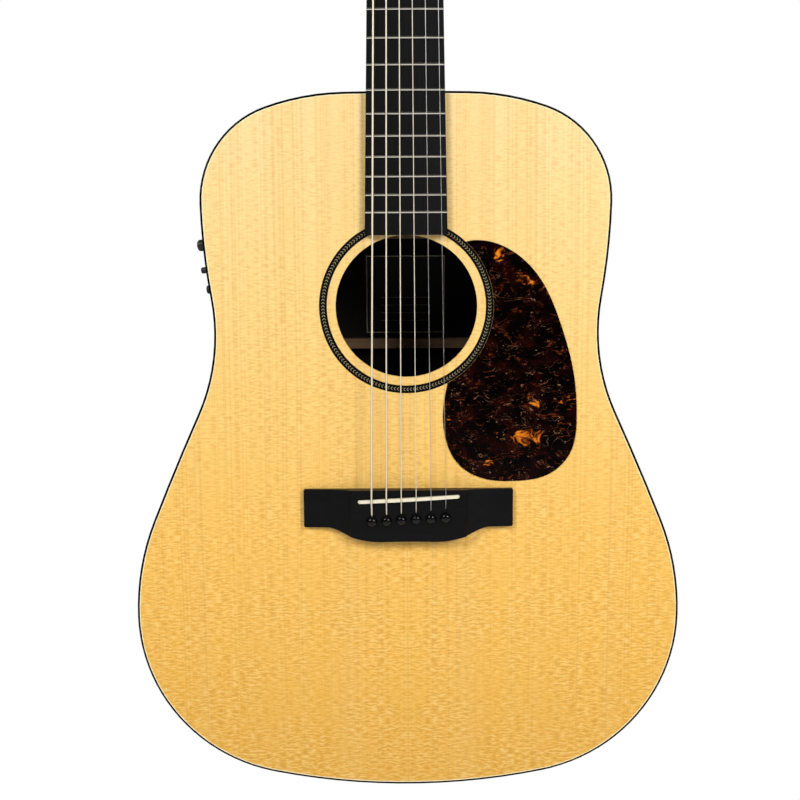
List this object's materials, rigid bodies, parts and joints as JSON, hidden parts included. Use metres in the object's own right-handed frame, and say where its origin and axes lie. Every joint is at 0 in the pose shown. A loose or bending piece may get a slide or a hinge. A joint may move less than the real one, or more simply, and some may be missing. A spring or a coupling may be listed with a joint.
{
  "type": "acoustic guitar",
  "caption": "Steel-string flat-top acoustic guitar with turning tuners, a side preamp with knobs and an end-pin output jack.",
  "frame": {"origin": "mouth of the end-pin output jack, on its axis", "axes": "+X to the treble side seen from the front, +Y from the front towards the back, +Z along the neck towards the head"},
  "size_m": [0.4, 0.1367, 1.0416],
  "materials": {
    "spruce": "satin",
    "mahogany": "satin",
    "neck_wood": "satin",
    "brace_wood": "raw",
    "plate_wood": "raw",
    "blackwood": "matte",
    "veneer": "gloss",
    "binding": "gloss",
    "inlay": "gloss",
    "tortoise": "gloss",
    "bone": "satin",
    "pickup_tape": "matte",
    "dot_white": "gloss",
    "pin_black": "gloss",
    "fret_silver": "polished",
    "steel": "plain",
    "chrome": "polished",
    "wound_bronze": "wound",
    "plain_steel": "drawn",
    "black_plastic": "satin",
    "nickel": "polished",
    "lead_rubber": "matte",
    "label_paper": "matte"
  },
  "bodies": {
    "body": {"soundboard": "spruce", "back_plate": "mahogany", "side_bass": "mahogany", "side_treble": "mahogany", "heel_cap": "mahogany", "neck": "neck_wood", "neck_block": "neck_wood", "tail_block": "neck_wood", "linings": "neck_wood", "top_braces": "brace_wood", "back_braces": "brace_wood", "bridge_plate": "plate_wood", "fingerboard": "blackwood", "bridge": "blackwood", "headplate": "veneer", "top_binding": "binding", "back_binding": "binding", "end_graft": "binding", "rosette": "inlay", "pickguard": "tortoise", "saddle": "bone", "nut": "bone", "saddle_pickup": "pickup_tape", "side_dots": "dot_white", "bridge_pins": "pin_black", "frets": "fret_silver", "truss_rod": "steel", "neck_bolts": "steel", "tuner_housings": "chrome", "tuner_bushings": "chrome", "tuner_screws": "chrome", "string_1": "wound_bronze", "string_2": "wound_bronze", "string_3": "wound_bronze", "string_4": "wound_bronze", "string_5": "plain_steel", "string_6": "plain_steel", "preamp": "black_plastic", "battery": "black_plastic", "control_nuts": "nickel", "endpin_jack": "nickel", "endpin_nut": "nickel", "wiring": "lead_rubber", "label": "label_paper"},
    "phase_button_body": {"phase_button": "black_plastic"},
    "tone_knob_body": {"tone_knob": "black_plastic"},
    "truss_nut_body": {"truss_nut": "steel"},
    "tuner_key_1_body": {"tuner_key_1": "chrome"},
    "tuner_key_2_body": {"tuner_key_2": "chrome"},
    "tuner_key_3_body": {"tuner_key_3": "chrome"},
    "tuner_key_4_body": {"tuner_key_4": "chrome"},
    "tuner_key_5_body": {"tuner_key_5": "chrome"},
    "tuner_key_6_body": {"tuner_key_6": "chrome"},
    "tuner_post_1_body": {"tuner_post_1": "chrome"},
    "tuner_post_2_body": {"tuner_post_2": "chrome"},
    "tuner_post_3_body": {"tuner_post_3": "chrome"},
    "tuner_post_4_body": {"tuner_post_4": "chrome"},
    "tuner_post_5_body": {"tuner_post_5": "chrome"},
    "tuner_post_6_body": {"tuner_post_6": "chrome"},
    "volume_knob_body": {"volume_knob": "black_plastic"}
  },
  "joints": [
    {"name": "tuner_1_key_turn", "type": "hinge", "parent": "body", "child": "tuner_key_1_body", "pos_m": [-0.041, -0.03315, 0.91954], "axis": [-1, 0, 0], "continuous": true},
    {"name": "tuner_1_post_turn", "type": "hinge", "parent": "body", "child": "tuner_post_1_body", "pos_m": [-0.021, -0.05372, 0.91853], "axis": [0, -0.9659, 0.2588], "continuous": true},
    {"name": "tuner_2_key_turn", "type": "hinge", "parent": "body", "child": "tuner_key_2_body", "pos_m": [-0.0428, -0.0228, 0.95818], "axis": [-1, 0, 0], "continuous": true},
    {"name": "tuner_2_post_turn", "type": "hinge", "parent": "body", "child": "tuner_post_2_body", "pos_m": [-0.0228, -0.04337, 0.95717], "axis": [0, -0.9659, 0.2588], "continuous": true},
    {"name": "tuner_3_key_turn", "type": "hinge", "parent": "body", "child": "tuner_key_3_body", "pos_m": [-0.0446, -0.01245, 0.99682], "axis": [-1, 0, 0], "continuous": true},
    {"name": "tuner_3_post_turn", "type": "hinge", "parent": "body", "child": "tuner_post_3_body", "pos_m": [-0.0246, -0.03301, 0.9958], "axis": [0, -0.9659, 0.2588], "continuous": true},
    {"name": "tuner_4_key_turn", "type": "hinge", "parent": "body", "child": "tuner_key_4_body", "pos_m": [0.0446, -0.01245, 0.99682], "axis": [1, 0, 0], "continuous": true},
    {"name": "tuner_4_post_turn", "type": "hinge", "parent": "body", "child": "tuner_post_4_body", "pos_m": [0.0246, -0.03301, 0.9958], "axis": [0, -0.9659, 0.2588], "continuous": true},
    {"name": "tuner_5_key_turn", "type": "hinge", "parent": "body", "child": "tuner_key_5_body", "pos_m": [0.0428, -0.0228, 0.95818], "axis": [1, 0, 0], "continuous": true},
    {"name": "tuner_5_post_turn", "type": "hinge", "parent": "body", "child": "tuner_post_5_body", "pos_m": [0.0228, -0.04337, 0.95717], "axis": [0, -0.9659, 0.2588], "continuous": true},
    {"name": "tuner_6_key_turn", "type": "hinge", "parent": "body", "child": "tuner_key_6_body", "pos_m": [0.041, -0.03315, 0.91954], "axis": [1, 0, 0], "continuous": true},
    {"name": "tuner_6_post_turn", "type": "hinge", "parent": "body", "child": "tuner_post_6_body", "pos_m": [0.021, -0.05372, 0.91853], "axis": [0, -0.9659, 0.2588], "continuous": true},
    {"name": "volume_turn", "type": "hinge", "parent": "body", "child": "volume_knob_body", "pos_m": [-0.15019, -0.022, 0.41805], "axis": [-0.9932, 0, -0.1168], "range_deg": [-150, 150]},
    {"name": "tone_turn", "type": "hinge", "parent": "body", "child": "tone_knob_body", "pos_m": [-0.14803, -0.022, 0.39968], "axis": [-0.9932, 0, -0.1168], "range_deg": [-150, 150]},
    {"name": "phase_press", "type": "slide", "parent": "body", "child": "phase_button_body", "axis": [0.9932, 0, 0.1168], "range_m": [0, 0.0012], "stiffness_N_per_m": 400, "springref_m": -0.0005},
    {"name": "truss_turn", "type": "hinge", "parent": "body", "child": "truss_nut_body", "pos_m": [0, -0.0535, 0.45785], "axis": [0, 0, 1], "range_deg": [-180, 180]}
  ],
  "couplings": [
    {"joint": "tuner_1_post_turn", "follows": "tuner_1_key_turn", "ratio": 0.071429},
    {"joint": "tuner_2_post_turn", "follows": "tuner_2_key_turn", "ratio": 0.071429},
    {"joint": "tuner_3_post_turn", "follows": "tuner_3_key_turn", "ratio": 0.071429},
    {"joint": "tuner_4_post_turn", "follows": "tuner_4_key_turn", "ratio": 0.071429},
    {"joint": "tuner_5_post_turn", "follows": "tuner_5_key_turn", "ratio": 0.071429},
    {"joint": "tuner_6_post_turn", "follows": "tuner_6_key_turn", "ratio": 0.071429}
  ]
}
